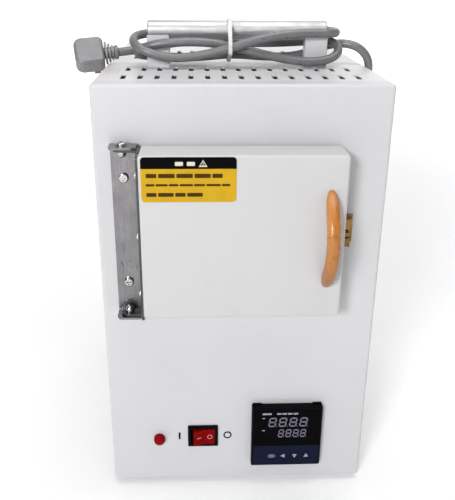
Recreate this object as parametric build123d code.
from build123d import *
import math
import os

# A small front-loading electric box kiln: a folded steel cabinet, a chamber behind a side-hung door in its
# upper half, and the controls and electrical bay in its lower half. All sizes are in millimetres.
#
# Places are given as (x, d, z): x across from the cabinet's middle, d behind the face of the front panel, and
# z above the underside of the case. The part's own frame has its origin on the floor, in the cabinet's middle
# plane and half way between the front of the door's pull and the back of the cable gland. The door faces -Y.

# ---- driving dimensions ------------------------------------------------------------------------------
CASE_W, CASE_D, CASE_H = 260.0, 340.0, 414.0
SHEET = 1.2                      # thickness of the cabinet's steel sheet
BEND = 3.0                       # outer radius of a bend in it
SEAM = 0.3                       # gap between two sheets that meet
FLANGE = 18.0                    # depth of the front panel's turned-in rim
FOOT_H = 6.0

CHAMBER_W, CHAMBER_H, CHAMBER_D = 120.0, 80.0, 200.0
CHAMBER_Z = 287.0                # height of the middle of the chamber and of the door
BOARD_SIDE, BOARD_TOP, BOARD_REAR = 51.0, 58.5, 61.0
CASING = 1.0                     # thickness of the furnace casing

DOOR_X = (-89.0, 87.5)
DOOR_H = 150.0
DOOR_T = 36.5                    # from the front panel's face to the door's face
DOOR_GAP = 3.0                   # air between the front panel and the back of the door

PIVOT_X, PIVOT_D = -104.0, -10.0
HINGE_X = (-115.0, -91.6)
HINGE_Z = (202.5, 364.5)
HINGE_T = 2.0
LEAF_T = 2.4                     # thickness of the leaf on the door

PULL_X, PULL_REACH, PULL_W = 73.0, 28.0, 12.0
PULL_Z = (241.0, 334.0)

CONTROL_Z = 55.5                 # height of the row of controls
LAMP_X, SWITCH_X, METER_X, METER_Z = -81.5, -36.6, 49.4, 57.6
METER = 72.0                     # side of the controller's square bezel
METER_T = 8.0                    # how far it stands off the panel
KEYS = {"mode_key": 21.3, "shift_key": 33.3, "down_key": 45.3, "up_key": 57.3}
KEY_Z = 12.0                     # height of the keys above the bezel's lower edge

LEG_X = (66.0, 88.0)
LEG_D = (107.0, 122.0)
BAR_R, BAR_Z = 8.7, 448.3
BAR_HALF = 87.0

GLAND_X, GLAND_Z, GLAND_OUT = 60.0, 140.0, 12.0
CORD_R = 4.2

door_z = (CHAMBER_Z + 0.3 - DOOR_H / 2, CHAMBER_Z + 0.3 + DOOR_H / 2)
front_y = (DOOR_T + PULL_REACH - CASE_D - GLAND_OUT) / 2      # where the front panel's face lies along Y


# ---- helpers -----------------------------------------------------------------------------------------
def at(x, d, z):
    """The point (x, d, z) in the part's own frame."""
    return Vector(x, front_y + d, FOOT_H + z)


def block(x, d, z):
    """A box between two limits each way."""
    size = [high - low for low, high in (x, d, z)]
    middle = at(*((low + high) / 2 for low, high in (x, d, z)))
    return Pos(*middle) * Box(*size)


def around(middle, half):
    return (middle - half, middle + half)


def rod(start, direction, radius, length):
    """A round rod that starts at a point and runs along a direction."""
    plane = Plane(origin=at(*start), z_dir=direction)
    return plane * Cylinder(radius, length, align=(Align.CENTER, Align.CENTER, Align.MIN))


def ring(start, direction, outer, inner, length):
    return rod(start, direction, outer, length) - rod(start, direction, inner, length)


def edges_along(shape, axis):
    return shape.edges().filter_by(axis)


def face_edges(shape, axis, end):
    """The edges of a shape's lowest (0) or highest (-1) face along an axis."""
    return shape.faces().sort_by(axis)[end].edges()


def rounded_pan(x, d, z, wall, radius):
    """A folded tray: a front sheet with four walls that run back from it, open at the back."""
    outer = block(x, d, z)
    outer = fillet(edges_along(outer, Axis.Y) + face_edges(outer, Axis.Y, 0), radius)
    inner = block((x[0] + wall, x[1] - wall), (d[0] + wall, d[1] + wall), (z[0] + wall, z[1] - wall))
    inner = fillet(edges_along(inner, Axis.Y) + face_edges(inner, Axis.Y, 0), radius - wall)
    return outer - inner


def pan_screw(seat, out, head, shaft, length):
    """A screw with a rounded head and a cross recess. It stands on its seat and looks along out."""
    inwards = tuple(-v for v in out)
    height = 0.62 * head
    top = rod(seat, out, head, height)
    top = fillet(top.edges().filter_by(GeomType.CIRCLE).sort_by_distance(at(*seat))[-1], 0.55 * height)
    plane = Plane(origin=at(*seat), z_dir=out)
    slot, width, deep = 1.15 * head, 0.24 * head, 0.5 * height
    recess = plane * Pos(0, 0, height) * (Box(slot, width, 2 * deep) + Box(width, slot, 2 * deep))
    return (top + rod(seat, inwards, shaft, length)) - recess


def dome_nut(seat, out, radius, height, bore):
    """A domed cap nut, threaded over the end of a screw."""
    across = rod(seat, out, radius, height - radius * 0.75)
    tip = Vector(*at(*seat)) + Vector(*out) * (height - radius)
    dome = Pos(*tip) * Sphere(radius)
    plane = Plane(origin=at(*seat), z_dir=out)
    keep = plane * Pos(0, 0, height / 2) * Box(3 * radius, 3 * radius, height)
    return ((across + dome) & keep) - rod(seat, out, bore, height * 0.6)


def drill(shape, start, direction, radius, length):
    return shape - rod(start, direction, radius, length)


def slots(xs, ds, z, width, length, depth):
    """Rounded slots that run front to back through a level sheet."""
    profile = Sketch() + [Pos(x, front_y + d) * RectangleRounded(width, length, 0.45 * width)
                          for x in xs for d in ds]
    return extrude(Pos(0, 0, FOOT_H + z) * profile, depth)


RIGHT, BACK, UP = (1, 0, 0), (0, 1, 0), (0, 0, 1)
LEFT, FRONT, DOWN = (-1, 0, 0), (0, -1, 0), (0, 0, -1)
os.makedirs("parts", exist_ok=True)


def save(name, shape):
    shape.label = name
    export_step(shape, f"parts/{name}.step")


def group(shapes):
    return Compound(children=list(shapes))


# ---- cabinet -----------------------------------------------------------------------------------------
half_w = CASE_W / 2
hinge_screw_z = (233.7, 333.9)
hinge_screw_x = -104.3
catch_z = CHAMBER_Z - 2
catch_screw_x = 98.8
rear_d = CASE_D - SHEET
SCREW_R, SCREW_HEAD = 2.0, 3.9


def make_front_panel():
    panel = rounded_pan((-half_w, half_w), (0, FLANGE), (0, CASE_H), SHEET, BEND)
    mouth = block(around(0, CHAMBER_W / 2 + 4), (-1, 3), around(CHAMBER_Z, CHAMBER_H / 2 + 4))
    panel -= fillet(edges_along(mouth, Axis.Y), 3)
    panel -= block(around(METER_X, 34.1), (-1, 3), around(METER_Z, 34.1))
    panel -= block(around(SWITCH_X, 13.8), (-1, 3), around(CONTROL_Z, 10.8))
    panel = drill(panel, (LAMP_X, -1, 52.9), BACK, 4.9, 4)
    for z in hinge_screw_z:
        panel = drill(panel, (hinge_screw_x, -1, z), BACK, SCREW_R, 4)
    for z in around(catch_z, 9.5):
        panel = drill(panel, (catch_screw_x, -1, z), BACK, 1.5, 4)
    return panel


def make_top_cover():
    low = CASE_H - 16
    outer = block((-half_w, half_w), (FLANGE + SEAM, rear_d - SEAM), (low, CASE_H))
    outer = fillet(edges_along(outer, Axis.Y).group_by(Axis.Z)[-1], BEND)
    inner = block((SHEET - half_w, half_w - SHEET), (0, CASE_D + 9), (low - 1, CASE_H - SHEET))
    inner = fillet(edges_along(inner, Axis.Y).group_by(Axis.Z)[-1], BEND - SHEET)
    cover = outer - inner
    columns = [15.0 * i for i in range(-7, 8)]
    cover -= slots(columns, (41, 91, 184, 234), CASE_H - 2, 4.6, 24.0, 4)
    for x, d in leg_screws:
        cover = drill(cover, (x, d, CASE_H - 3), UP, SCREW_R, 5)
    return cover


def make_side_panel(side):
    limits = sorted((side * (half_w - SHEET), side * half_w))
    panel = block(limits, (FLANGE + SEAM, rear_d - SEAM), (0, CASE_H - 16 - SEAM))
    for d, z in side_screws:
        panel = drill(panel, (side * (half_w - 3), d, z), (side, 0, 0), SCREW_R, 5)
    return panel


def make_rear_panel():
    panel = block((-half_w, half_w), (rear_d, CASE_D), (0, CASE_H))
    panel = fillet(edges_along(panel, Axis.Y), BEND)
    panel = drill(panel, (GLAND_X, rear_d - 1, GLAND_Z), BACK, 8.0, 4)
    panel = drill(panel, (GLAND_X + 40, rear_d - 1, GLAND_Z), BACK, 2.5, 4)
    air = Plane(origin=at(0, rear_d - 1, 52), x_dir=RIGHT, z_dir=BACK)
    holes = Sketch() + [Pos(13.0 * i, 22 * j) * RectangleRounded(4, 16, 1.9)
                        for i in range(-6, 7) for j in (-0.5, 0.5)]
    panel -= extrude(air * holes, 4)
    for x, z in rear_screws:
        panel = drill(panel, (x, rear_d - 1, z), BACK, SCREW_R, 4)
    return panel


def tray(z, lip):
    """A level sheet between the side panels, with a lip turned up or down along both sides."""
    x = half_w - SHEET - SEAM
    low, high = sorted((z, z + lip))
    body = block((-x, x), (FLANGE + SEAM, rear_d - SEAM), (z, z + SHEET))
    body += block((2 - x, x - 2), (BEND + SEAM, FLANGE + SEAM), (z, z + SHEET))
    for side in (-1, 1):
        edge = sorted((side * x, side * (x - SHEET)))
        body += block(edge, (FLANGE + 2, rear_d - 4), (low, high))
    return body


leg_screws = [(side * 77.0, d) for side in (-1, 1) for d in (111.0, 118.0)]
side_screws = [(d, z) for d in (40.0, 180.0, 320.0) for z in (8.0, 385.0)]
rear_screws = [(x, z) for x in (-118.0, 0.0, 118.0) for z in (12.0, 402.0)]
rear_screws += [(x, 200.0) for x in (-118.0, 118.0)]

base = tray(SHEET + SEAM, 12)
for side in (-1, 1):
    for d, z in side_screws:
        base = drill(base, (side * (half_w - 4), d, z), (side, 0, 0), SCREW_R, 6)
for x in (-105, 105):
    for d in (40, 300):
        base = drill(base, (x, d, 0), UP, SCREW_R, 5)
foot = [rod((x, d, SHEET + SEAM), DOWN, 10.0, SHEET + SEAM + FOOT_H)
        for x in (-105, 105) for d in (40, 300)]
foot = [chamfer(f.edges().group_by(Axis.Z)[0], 1.5) for f in foot]

save("front_panel", make_front_panel())
save("top_cover", make_top_cover())
save("left_side_panel", make_side_panel(-1))
save("right_side_panel", make_side_panel(1))
save("rear_panel", make_rear_panel())
save("base_plate", base)
save("rubber_feet", group(foot))

screws = [pan_screw((side * half_w, d, z), (side, 0, 0), SCREW_HEAD, SCREW_R - 0.02, 5)
          for side in (-1, 1) for d, z in side_screws]
screws += [pan_screw((x, CASE_D, z), BACK, SCREW_HEAD, SCREW_R - 0.02, 7) for x, z in rear_screws]
screws += [pan_screw((x, d, CASE_H - SHEET), DOWN, 3.2, SCREW_R - 0.02, 6) for x, d in leg_screws]
save("cabinet_screws", group(screws))

# ---- furnace inside the cabinet ----------------------------------------------------------------------
wall_x = CHAMBER_W / 2 + BOARD_SIDE
floor_z, roof_z = CHAMBER_Z - CHAMBER_H / 2, CHAMBER_Z + CHAMBER_H / 2
low_z, high_z = floor_z - BOARD_TOP, roof_z + BOARD_TOP
board_d = (SHEET + 0.4, SHEET + 0.4 + CHAMBER_D + BOARD_REAR)
chamber_end = board_d[0] + CHAMBER_D
casing_end = board_d[1] + CASING

save("furnace_shelf", tray(low_z - CASING - SHEET, -12))

casing_x, casing_z = (-wall_x - CASING, wall_x + CASING), (low_z - CASING, high_z + CASING)
casing = block(casing_x, (board_d[0], casing_end), casing_z)
casing -= block((-wall_x, wall_x), (board_d[0] - 1, board_d[1]), (low_z, high_z))

WIRE_R = 3.0                                        # outer radius of the coiled wire
WIRE_TURN = 9.0                                     # radius of its half circles
wire_rows = [CHAMBER_Z + 2 * WIRE_TURN * i for i in (-1.5, -0.5, 0.5, 1.5)]
wire_x = CHAMBER_W / 2 + 3.6                        # middle of the groove, inside the side board
wire_d = (board_d[0] + 18, chamber_end - 12)
wire_out = casing_end + 14


def wire_path(side):
    """A serpentine of four level runs joined by half circles, both ends leaving at the back."""
    x, turn = side * wire_x, WIRE_TURN
    front, back = wire_d[0] + turn, wire_d[1] - turn
    z1, z2, z3, z4 = wire_rows
    line = [Line(at(x, wire_out, z1), at(x, front, z1)),
            ThreePointArc(at(x, front, z1), at(x, front - turn, z1 + turn), at(x, front, z2)),
            Line(at(x, front, z2), at(x, back, z2)),
            ThreePointArc(at(x, back, z2), at(x, back + turn, z2 + turn), at(x, back, z3)),
            Line(at(x, back, z3), at(x, front, z3)),
            ThreePointArc(at(x, front, z3), at(x, front - turn, z3 + turn), at(x, front, z4)),
            Line(at(x, front, z4), at(x, wire_out, z4))]
    return Wire(line)


def make_wire(side, radius):
    start = Plane(origin=at(side * wire_x, wire_out, wire_rows[0]), z_dir=FRONT)
    return sweep(start * Circle(radius), path=wire_path(side))


def make_side_board(side):
    limits = sorted((side * CHAMBER_W / 2, side * wall_x))
    board = block(limits, board_d, (floor_z, roof_z))
    inner = sorted((side * (CHAMBER_W / 2 - 1), side * (wire_x + WIRE_R + 0.4)))
    groove = (wire_d[0] - WIRE_R - 0.6, wire_d[1] + WIRE_R + 0.6)
    for z in wire_rows:
        board -= block(inner, groove, around(z, WIRE_R + 0.6))
    front_turn, back_turn = (groove[0], wire_d[0] + WIRE_TURN), (wire_d[1] - WIRE_TURN, groove[1])
    for d, low in ((front_turn, 0), (back_turn, 1), (front_turn, 2)):
        board -= block(inner, d, (wire_rows[low], wire_rows[low + 1]))
    for z in (wire_rows[0], wire_rows[-1]):
        board = drill(board, (side * wire_x, wire_d[1] - 1, z), BACK, WIRE_R + 0.2, 90)
    return board


for side in (-1, 1):
    for z in (wire_rows[0], wire_rows[-1]):
        casing = drill(casing, (side * wire_x, board_d[1] - 1, z), BACK, WIRE_R + 1.5, 4)
probe_z = CHAMBER_Z + 15
casing = drill(casing, (0, board_d[1] - 1, probe_z), BACK, 4, 4)
rear_board = block(around(0, CHAMBER_W / 2), (chamber_end, board_d[1]), (floor_z, roof_z))

save("furnace_casing", casing)
save("floor_board", block((-wall_x, wall_x), board_d, (low_z, floor_z)))
save("roof_board", block((-wall_x, wall_x), board_d, (roof_z, high_z)))
save("left_wall_board", make_side_board(-1))
save("right_wall_board", make_side_board(1))
save("rear_wall_board", drill(rear_board, (0, chamber_end - 1, probe_z), BACK, 3.2, 80))
save("heating_wires", group([make_wire(-1, WIRE_R), make_wire(1, WIRE_R)]))

hearth = block(around(0, 51), (board_d[0] + 26, chamber_end - 10), (floor_z, floor_z + 8))
save("hearth_plate", chamfer(edges_along(hearth, Axis.Z) + face_edges(hearth, Axis.Z, -1), 1.5))

probe = rod((0, chamber_end - 22, probe_z), BACK, 3.0, casing_end + 6 - chamber_end + 22)
probe = fillet(probe.edges().sort_by(Axis.Y)[0], 2.5)
head = rod((0, casing_end + 6, probe_z), BACK, 10, 18)
save("thermocouple", probe + chamfer(head.edges(), 1.0))

terminals = block(around(0, 38), (casing_end, casing_end + 16), around(floor_z - 20, 11))
terminals = fillet(edges_along(terminals, Axis.Y), 2)
for i in range(4):
    terminals -= block(around(-27 + 18 * i, 6.5), (casing_end + 9, casing_end + 17), around(floor_z - 20, 7))
save("terminal_block", terminals)

relay = block(around(-70, 22), (215, 273), (1.5 + SHEET, 28))
relay = chamfer(face_edges(relay, Axis.Z, -1), 1.5)
relay += group([rod((-70 + x, d, 28), UP, 3.5, 2.5) for x in (-14, 14) for d in (224, 264)])
save("solid_state_relay", relay)

# ---- door --------------------------------------------------------------------------------------------
door_d = (-DOOR_T, -DOOR_GAP)
DOOR_BEND = 2.6
plug_w, plug_h = CHAMBER_W / 2 - 5, CHAMBER_H / 2 - 5
leaf_screw_z = (232.0, CHAMBER_Z, 342.0)
leaf_screw_d = -23.0
pull_screw_z = (251.0, 324.0)


def make_door_shell():
    shell = rounded_pan(DOOR_X, door_d, door_z, SHEET, DOOR_BEND)
    for z in leaf_screw_z:
        shell = drill(shell, (DOOR_X[0] - 1, leaf_screw_d, z), RIGHT, 1.75, 4)
    for z in around(catch_z, 7):
        shell = drill(shell, (DOOR_X[1] - 3, -13, z), RIGHT, 1.25, 5)
    for z in pull_screw_z:
        shell = drill(shell, (PULL_X, -DOOR_T - 1, z), BACK, SCREW_R, 4)
    return shell


def make_door_back():
    x0, x1 = DOOR_X[0] + SHEET + 0.2, DOOR_X[1] - SHEET - 0.2
    z0, z1 = door_z[0] + SHEET + 0.2, door_z[1] - SHEET - 0.2
    plate = block((x0, x1), (-DOOR_GAP - SHEET, -DOOR_GAP), (z0, z1))
    plate = fillet(edges_along(plate, Axis.Y), 1.4)
    for x in (-78, 76):
        for z in around(CHAMBER_Z, 60):
            plate = drill(plate, (x, -DOOR_GAP - 2, z), BACK, 1.6, 4)
    return plate


def make_door_plug():
    """A refractory block that tapers into the mouth of the chamber."""
    start = Plane(origin=at(0, -DOOR_GAP, CHAMBER_Z), x_dir=RIGHT, z_dir=BACK)
    wide = start * RectangleRounded(2 * plug_w, 2 * plug_h, 4)
    narrow = start.offset(22) * RectangleRounded(2 * plug_w - 10, 2 * plug_h - 10, 4)
    return loft([wide.face(), narrow.face()])


def make_pull():
    """A bow of wood: its outer and inner outlines are arcs, with the ends cut flat against the door."""
    face, mid = -DOOR_T, sum(PULL_Z) / 2
    grip, foot_len = 11.5, 18.0
    top, bottom = at(PULL_X, face, PULL_Z[1]), at(PULL_X, face, PULL_Z[0])
    top_in, bottom_in = at(PULL_X, face, PULL_Z[1] - foot_len), at(PULL_X, face, PULL_Z[0] + foot_len)
    outline = [ThreePointArc(bottom, at(PULL_X, face - PULL_REACH, mid), top), Line(top, top_in),
               ThreePointArc(top_in, at(PULL_X, face - PULL_REACH + grip, mid), bottom_in),
               Line(bottom_in, bottom)]
    side = Face(Wire(outline))
    bow = extrude(side, PULL_W / 2, dir=RIGHT, both=True)
    long_edges = bow.edges().filter_by(GeomType.CIRCLE)
    bow = fillet(long_edges, 4.6)
    for z in pull_screw_z:
        bow = drill(bow, (PULL_X, face - 9, z), BACK, SCREW_R, 10)
    return bow


shell_gap = SHEET + 0.2
save("door_shell", make_door_shell())
save("door_back_plate", make_door_back())
filling = block((DOOR_X[0] + shell_gap, DOOR_X[1] - shell_gap), (5 - DOOR_T, -DOOR_GAP - SHEET),
                (door_z[0] + shell_gap, door_z[1] - shell_gap))
save("door_insulation", fillet(edges_along(filling, Axis.Y), 1.8))
save("door_plug", make_door_plug())
door_screws = [pan_screw((x, -DOOR_GAP, z), BACK, 2.0, 1.58, SHEET)
               for x in (-78, 76) for z in around(CHAMBER_Z, 60)]
door_screws += [pan_screw((PULL_X, -DOOR_T + SHEET, z), BACK, 3.0, SCREW_R - 0.02, SHEET + 8)
                for z in pull_screw_z]
door_screws += [pan_screw((DOOR_X[0] - LEAF_T, leaf_screw_d, z), LEFT, 3.2, 1.73, LEAF_T + SHEET)
                for z in leaf_screw_z]
save("door_screws", group(door_screws))

label = block((-86.6, -7.4), (-DOOR_T - 0.3, -DOOR_T), (322.6, 361.2))
save("warning_label", fillet(edges_along(label, Axis.Y), 3.2))
save("wooden_pull", make_pull())

# ---- hinge -------------------------------------------------------------------------------------------
EAR_D = -19.0
PIN_R, EAR_HOLE_R = 2.5, 2.56
ear_gap = 0.5


def make_cabinet_leaf():
    """A strip on the front panel whose ends are bent forwards into two rounded ears."""
    outer = block(HINGE_X, (EAR_D, 0), HINGE_Z)
    outer = fillet(edges_along(outer, Axis.X).group_by(Axis.Y)[-1], HINGE_T + 0.8)
    inner = block((HINGE_X[0] - 1, HINGE_X[1] + 1), (EAR_D - 1, -HINGE_T),
                  (HINGE_Z[0] + HINGE_T, HINGE_Z[1] - HINGE_T))
    inner = fillet(edges_along(inner, Axis.X).group_by(Axis.Y)[-1], 0.8)
    leaf = outer - inner
    leaf = fillet(edges_along(leaf, Axis.Z).group_by(Axis.Y)[0], 5.0)
    for z in hinge_screw_z:
        leaf = drill(leaf, (hinge_screw_x, -HINGE_T - 1, z), BACK, SCREW_R, 4)
    for z in HINGE_Z:
        leaf = drill(leaf, (PIVOT_X, PIVOT_D, z - 3), UP, PIN_R, 6)
    return leaf


leaf_z = (HINGE_Z[0] + HINGE_T + ear_gap, HINGE_Z[1] - HINGE_T - ear_gap)
EAR_R = 7.5


def make_door_leaf():
    """A plate against the door's side, with an ear at each end that turns on a pivot screw."""
    spine = block((DOOR_X[0] - LEAF_T, DOOR_X[0]), (-30, -3), leaf_z)
    spine = fillet(edges_along(spine, Axis.X).group_by(Axis.Y)[0], 6)
    leaf = spine
    for z in ((leaf_z[0], leaf_z[0] + 2), (leaf_z[1] - 2, leaf_z[1])):
        ear = rod((PIVOT_X, PIVOT_D, z[0]), UP, EAR_R, 2)
        ear += block((PIVOT_X, DOOR_X[0] - 0.5), around(PIVOT_D, EAR_R), z)
        leaf += drill(ear, (PIVOT_X, PIVOT_D, z[0] - 1), UP, EAR_HOLE_R, 4)
    for z in leaf_screw_z:
        leaf = drill(leaf, (DOOR_X[0] - 4, leaf_screw_d, z), RIGHT, 1.75, 6)
    return leaf


hinge_screws = [pan_screw((PIVOT_X, PIVOT_D, z), out, 4.6, PIN_R - 0.02, 8)
                for z, out in ((HINGE_Z[1], UP), (HINGE_Z[0], DOWN))]
hinge_screws += [pan_screw((hinge_screw_x, -HINGE_T, z), FRONT, 4.4, SCREW_R - 0.02, HINGE_T + SHEET)
                 for z in hinge_screw_z]
caps = [dome_nut((PIVOT_X, PIVOT_D, leaf_z[0] + 2.4), UP, 4.0, 5.6, PIN_R),
        dome_nut((PIVOT_X, PIVOT_D, leaf_z[1] - 2.4), DOWN, 4.0, 5.6, PIN_R)]
save("hinge_cabinet_leaf", make_cabinet_leaf())
save("hinge_door_leaf", make_door_leaf())
save("hinge_screws", group(hinge_screws))
save("hinge_cap_nuts", group(caps))

# ---- ball catch --------------------------------------------------------------------------------------
BALL_R, BALL_IN = 2.6, 1.2                          # the balls reach this near the middle line
BALL_TRAVEL = 0.9
TONGUE = 1.9                                        # half the thickness of the striker's tongue
CATCH_D = (-15.0, 0.0)
catch_x = (88.6, 101.0)
ball_x, ball_d = 92.6, -10.0


def make_catch_body():
    """A brass channel open towards the front, with a bore for a ball and its spring in each cheek."""
    body = block((catch_x[0], 96.6), CATCH_D, around(catch_z, 13.0))
    body -= block((catch_x[0] - 1, 97), (CATCH_D[0] - 1, -2.0), around(catch_z, 4.6))
    body += block((96.6, catch_x[1]), (-1.6, 0), around(catch_z, 13.0))
    body = fillet(edges_along(body, Axis.X).group_by(Axis.Y)[0], 0.8)
    for sign in (-1, 1):
        body = drill(body, (ball_x, ball_d, catch_z + sign * 4), (0, 0, sign), BALL_R + 0.06, 7.8)
        body = drill(body, (catch_screw_x, -3, catch_z + sign * 9.5), BACK, 1.5, 5)
    return body


def make_ball(sign):
    return Pos(*at(ball_x, ball_d, catch_z + sign * (BALL_IN + BALL_R))) * Sphere(BALL_R)


def make_spring(sign):
    """The turns behind a ball as a plain tube, short of it by the ball's travel."""
    start = BALL_IN + 2 * BALL_R + BALL_TRAVEL + 0.1
    return ring((ball_x, ball_d, catch_z + sign * start), (0, 0, sign), 2.2, 1.6, 11.7 - start)


def make_striker():
    """A plate on the door's side with a tongue whose hollows take the two balls."""
    x0 = DOOR_X[1]
    plate = block((x0, x0 + 1.0), (-20, -6.5), around(catch_z, 10.5))
    plate = fillet(edges_along(plate, Axis.X), 2)
    tongue = block((x0 + 1.0, ball_x + 2.4), (-18.0, -5.0), around(catch_z, TONGUE))
    tongue = chamfer(edges_along(tongue, Axis.X).group_by(Axis.Y)[-1], 1.0)
    striker = plate + tongue
    for sign in (-1, 1):
        centre = at(ball_x, ball_d, catch_z + sign * (BALL_IN + BALL_R))
        striker -= Pos(*centre) * Sphere(BALL_R + 0.12)
    for z in around(catch_z, 7):
        striker = drill(striker, (x0 - 1, -13, z), RIGHT, 1.25, 4)
    return striker


save("catch_body", make_catch_body())
save("upper_catch_ball", make_ball(1))
save("lower_catch_ball", make_ball(-1))
save("catch_springs", group([make_spring(1), make_spring(-1)]))
save("door_striker", make_striker())
fixings = [pan_screw((catch_screw_x, -1.6, z), FRONT, 1.9, 1.48, 3) for z in around(catch_z, 9.5)]
save("catch_screws", group(fixings))

# ---- controls ----------------------------------------------------------------------------------------
lens = rod((LAMP_X, -7.0, 52.9), BACK, 5.9, 7.0)
save("pilot_lamp_lens", fillet(lens.edges().sort_by(Axis.Y)[0], 4.2))
lamp = rod((LAMP_X, 0, 52.9), BACK, 4.8, 28) + ring((LAMP_X, SHEET, 52.9), BACK, 7.5, 4.0, 4)
save("pilot_lamp_body", lamp)

ROCKER_W, ROCKER_H = 22.0, 17.6
ROCKER_AXIS_D = 3.5
ROCKER_TILT = 12.0


def make_switch_housing():
    bezel = block(around(SWITCH_X, 15.5), (-2.0, 0), around(CONTROL_Z, 12.75))
    bezel = fillet(edges_along(bezel, Axis.Y), 1.0)
    bezel = chamfer(face_edges(bezel, Axis.Y, 0), 0.6)
    body = block(around(SWITCH_X, 13.6), (0, 22), around(CONTROL_Z, 10.6))
    housing = bezel + body
    housing -= block(around(SWITCH_X, 12.4), (-3, 10), around(CONTROL_Z, 9.2))
    for x in (-7, 0, 7):
        housing += block(around(SWITCH_X + x, 2.4), (22, 30), around(CONTROL_Z, 0.4))
    return housing


def make_rocker():
    """A shallow V across its face, tilted to its off position with the right side pressed in."""
    half, rest = ROCKER_W / 2, ROCKER_TILT
    outline = [(-half, -8.5), (0, -6.6), (half, -8.5), (half, -1.5), (5.5, 3.4), (-5.5, 3.4), (-half, -1.5)]
    axis_point = at(SWITCH_X, ROCKER_AXIS_D, CONTROL_Z - ROCKER_H / 2)
    profile = make_face(Polyline(*outline, close=True))
    body = extrude(profile, ROCKER_H)
    body = fillet(edges_along(body, Axis.Z).group_by(Axis.Y)[0], 0.9)
    return Pos(*axis_point) * Rot(0, 0, rest) * body


save("switch_housing", make_switch_housing())
save("switch_rocker", make_rocker())
on_mark = block(around(-60.8, 0.95), (-0.2, 0), around(CONTROL_Z, 4.2))
off_mark = ring((-11.1, -0.2, CONTROL_Z), BACK, 4.3, 2.9, 0.2)
save("switch_marks", group([on_mark, off_mark]))

meter_x, meter_z = around(METER_X, METER / 2), around(METER_Z, METER / 2)
FACE_IN = 1.6                                       # depth of the recess in the bezel's face
window_z = (meter_z[0] + 25.2, meter_z[1] - 1.8)
strip_z = (meter_z[0] + 1.8, meter_z[0] + 24.9)
KEY_R, KEY_GAP, KEY_TRAVEL = 4.4, 0.2, 0.5


def key_centre(place, d):
    return (meter_x[0] + place, d, meter_z[0] + KEY_Z)


def make_meter_bezel():
    bezel = block(meter_x, (-METER_T, 0), meter_z)
    bezel = fillet(edges_along(bezel, Axis.Y), 1.5)
    bezel = chamfer(face_edges(bezel, Axis.Y, 0), 0.7)
    for x in ((meter_x[0] + 0.8, meter_x[0] + 10), (meter_x[1] - 10, meter_x[1] - 0.8)):
        bezel += block(x, (-2.5, 0), (meter_z[1] - 0.5, meter_z[1] + 1.1))
    bezel -= block((meter_x[0] + 1.8, meter_x[1] - 1.8), (-METER_T - 1, FACE_IN - METER_T),
                   (strip_z[0], window_z[1]))
    for place in KEYS.values():
        bezel = drill(bezel, key_centre(place, -METER_T), BACK, KEY_R + KEY_GAP, 3.2)
    return bezel


strip = block((meter_x[0] + 1.9, meter_x[1] - 1.9), (0.1 - METER_T, FACE_IN - METER_T), strip_z)
for place in KEYS.values():
    strip = drill(strip, key_centre(place, -METER_T - 1), BACK, KEY_R + KEY_GAP, 4)
save("controller_bezel", make_meter_bezel())
window = block((meter_x[0] + 1.9, meter_x[1] - 1.9), (0.1 - METER_T, FACE_IN - METER_T), window_z)
save("controller_window", window)
save("controller_key_strip", strip)
for name, place in KEYS.items():
    key = rod(key_centre(place, -METER_T), BACK, KEY_R, 2.2)
    save(name, fillet(key.edges().sort_by(Axis.Y)[0], 0.3))

housing = block(around(METER_X, 33.8), (0, 78), around(METER_Z, 33.8))
housing = fillet(edges_along(housing, Axis.Y), 1.0)
save("controller_housing", housing)
clamp = block(around(METER_X, 38), (SHEET, 14), around(METER_Z, 38))
save("controller_clamp", clamp - block(around(METER_X, 34), (0, 15), around(METER_Z, 34)))

# ---- carry handle ------------------------------------------------------------------------------------
bar_d = sum(LEG_D) / 2
LEG_WALL = 1.5


def make_leg(side):
    """A folded box leg, closed at its foot and cut away to the round of the bar at its top."""
    x = sorted((side * LEG_X[0], side * LEG_X[1]))
    leg = block(x, LEG_D, (CASE_H, BAR_Z - 3))
    leg = fillet(edges_along(leg, Axis.Z), 1.2)
    leg -= block((x[0] + LEG_WALL, x[1] - LEG_WALL), (LEG_D[0] + LEG_WALL, LEG_D[1] - LEG_WALL),
                 (CASE_H + LEG_WALL, BAR_Z))
    leg = drill(leg, (side * (LEG_X[0] - 5), bar_d, BAR_Z), (side, 0, 0), BAR_R, 40)
    for screw_x, d in leg_screws:
        if screw_x * side > 0:
            leg = drill(leg, (screw_x, d, CASE_H - 1), UP, SCREW_R, 4)
    return leg


bar = rod((-BAR_HALF, bar_d, BAR_Z), RIGHT, BAR_R, 2 * BAR_HALF)
save("carry_bar", fillet(bar.edges(), 1.4))
save("left_bar_leg", make_leg(-1))
save("right_bar_leg", make_leg(1))

# ---- cable tie round the bar and the cord ------------------------------------------------------------
TIE_X, TIE_W, TIE_T = -8.0, 3.6, 1.1
TIE_LOOP = [(104, 458.5), (125, 458.5), (147, 441), (147, 431), (135, 417.5), (122, 417.2), (96, 426),
            (84, 428.4), (83.6, 437.5)]


def make_tie():
    corners = [at(TIE_X, d, z) for d, z in TIE_LOOP]
    loop = make_face(FilletPolyline(*corners, radius=2.5, close=True))
    outer = extrude(loop, TIE_W / 2, dir=RIGHT, both=True)
    inside = offset(loop, -TIE_T)
    band = outer - extrude(inside, TIE_W, dir=RIGHT, both=True)
    return band + block(around(TIE_X, 3.4), (146.9, 150.9), (431.5, 437.5))


save("cable_tie", make_tie())

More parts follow.
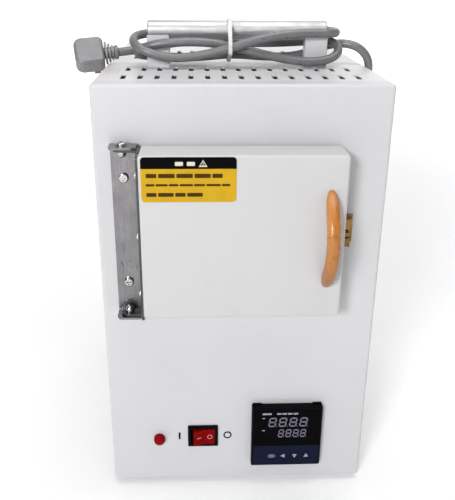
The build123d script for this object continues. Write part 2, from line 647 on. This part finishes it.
# ---- mains cord --------------------------------------------------------------------------------------
gland = rod((GLAND_X, rear_d - 5, GLAND_Z), BACK, 7.9, 5 + SHEET)
gland += rod((GLAND_X, CASE_D, GLAND_Z), BACK, 12, 4)
gland += Plane(origin=at(GLAND_X, CASE_D + 4, GLAND_Z), z_dir=BACK) * Cone(
    9.5, 6.5, GLAND_OUT - 4, align=(Align.CENTER, Align.CENTER, Align.MIN))
gland = drill(gland, (GLAND_X, CASE_D, GLAND_Z), BACK, CORD_R, GLAND_OUT + 1)
save("cable_gland", gland)
save("earth_stud", pan_screw((GLAND_X + 40, CASE_D, GLAND_Z), BACK, 5.0, 2.48, 9))

# From the gland round the rear corner, up the right side, over the top edge, twice round the legs of the
# handle, and out to the plug at the left.
ROUTE = [(60, 352, 140), (60, 374, 139.5), (69, 397, 131), (96, 409, 116), (126, 400, 106), (147, 374, 107),
         (150, 338, 122), (143, 300, 152), (138, 264, 194), (136.6, 232, 240), (136.4, 202, 288),
         (136.4, 172, 334), (136.4, 146, 374), (136.4, 131, 402), (135, 127, 418.5), (126, 128, 430),
         (112, 131, 434.8), (97, 137, 433.2), (80, 137.5, 427.6), (60, 134, 421.5), (30, 130.5, 421),
         (-5, 130, 424.2), (-40, 130.5, 420.2), (-70, 130.5, 420.6), (-88, 129, 421.6), (-97, 120, 424),
         (-97.5, 108.5, 428.1), (-87, 100.3, 434.7), (-62.1, 98.7, 438.2), (-30, 100, 438.4), (0, 100.5, 433),
         (32, 99, 425.2), (60, 97.5, 420.6), (81, 97.5, 420.6), (96, 102, 425), (101, 113, 431.5),
         (96.5, 124.5, 437), (81, 129.5, 437.8), (58, 129.6, 435.6), (25, 129.5, 434.6), (-10, 129.5, 435.2),
         (-45, 129.5, 438.8), (-70, 129.8, 442.2), (-88, 129.2, 443.8), (-99.6, 117.9, 442.1),
         (-101.6, 102.9, 438.1), (-92, 91.8, 431.3), (-71, 90.4, 425), (-50, 90.8, 424.2), (-18, 90.2, 430.5),
         (14, 90, 440.6), (44, 94, 446.2), (70.1, 97.8, 447), (88.8, 100, 446.7), (97.8, 110.6, 446.7),
         (93, 128.4, 446.8), (76, 140, 445.6), (50, 140.8, 441), (18, 139.6, 437), (-18, 139.6, 436.8),
         (-52, 140, 435), (-80, 139, 430.6), (-100, 131, 427), (-118, 127.5, 425.6)]


def bend_radii(route):
    """The largest tangent arc that each corner's two runs leave room for."""
    points = [Vector(*p) for p in route]
    radii = []
    for before, corner, after in zip(points, points[1:], points[2:]):
        one, two = corner - before, after - corner
        turn = math.radians(one.get_angle(two))
        radii.append(0.45 * min(one.length, two.length) / math.tan(turn / 2))
    return radii


radii = bend_radii(ROUTE)
path = FilletPolyline(*[at(*p) for p in ROUTE], radius=radii)
cord = sweep(Plane(origin=at(*ROUTE[0]), z_dir=path % 0) * Circle(CORD_R), path=path)
print("cord radii", [round(r) for r in radii])
share = cord.volume / (math.pi * CORD_R**2 * path.length)
print("cord length", round(path.length, 1), "volume over section times length", round(share, 4))
save("mains_cord", cord)

# ---- plug --------------------------------------------------------------------------------------------
PLUG_W, PLUG_L, PLUG_T = 28.6, 28.6, 20.0
PLUG_NECK = 14.4                                    # from the end of the cord to the plug's body
PIN_REACH, PIN_SINK = 16.0, 1.0                     # how far the pins stand out of it, and reach into it
PIN_WIDE, PIN_THIN = 6.2, 1.6
PLUG_TILT = 36.0                                    # how far its back looks up from level
plug_end = ROUTE[-1]
plug_along = (Vector(*ROUTE[-1]) - Vector(*ROUTE[-2])).normalized()
plug_back = Vector(0, -math.cos(math.radians(PLUG_TILT)), math.sin(math.radians(PLUG_TILT)))
plug_back -= plug_along * plug_back.dot(plug_along)
plug_frame = Plane(origin=at(*plug_end), x_dir=plug_along, z_dir=plug_back)


def make_plug():
    """In its own frame the cord enters along +X, its back looks along +Z and its pins point along -Z."""
    collar = Rot(0, 90, 0) * Cylinder(6.8, 4.0, align=(Align.CENTER, Align.CENTER, Align.MIN))
    collar = fillet(collar.edges(), 1.2)
    neck = Rot(0, 90, 0) * Cylinder(5.6, PLUG_NECK + 2, align=(Align.CENTER, Align.CENTER, Align.MIN))
    ribs = [Pos(5.8 + 3.2 * i, 0, 0) * Box(1.9, 13.5 + 3.4 * i, 12.6 + 1.5 * i) for i in range(3)]
    ribs = [fillet(edges_along(r, Axis.X), 5.0) for r in ribs]
    body = Pos(PLUG_NECK + PLUG_W / 2, 0, 0) * Box(PLUG_W, PLUG_L, PLUG_T)
    body = fillet(edges_along(body, Axis.Z).group_by(Axis.X)[0], 5.0)
    body = fillet(edges_along(body, Axis.Z).group_by(Axis.X)[-1], 8.0)
    body = fillet(face_edges(body, Axis.Z, -1), 3.0)
    body = chamfer(face_edges(body, Axis.Z, 0), 1.5)
    plug = collar + neck + body
    for rib in ribs:
        plug += rib
    return plug_frame * plug


def make_pins():
    pins = []
    for x, y in ((22, -6.3), (22, 6.3), (35, 0)):
        across, along = (PIN_THIN, PIN_WIDE) if y == 0 else (PIN_WIDE, PIN_THIN)
        middle = (PIN_SINK - PIN_REACH - PLUG_T) / 2
        blade = Pos(x, y, middle) * Box(across, along, PIN_REACH + PIN_SINK)
        pins.append(plug_frame * chamfer(face_edges(blade, Axis.Z, 0), 0.5))
    return group(pins)


plug = make_plug()
pins = make_pins()
save("plug_body", plug - pins)
save("plug_pins", pins)
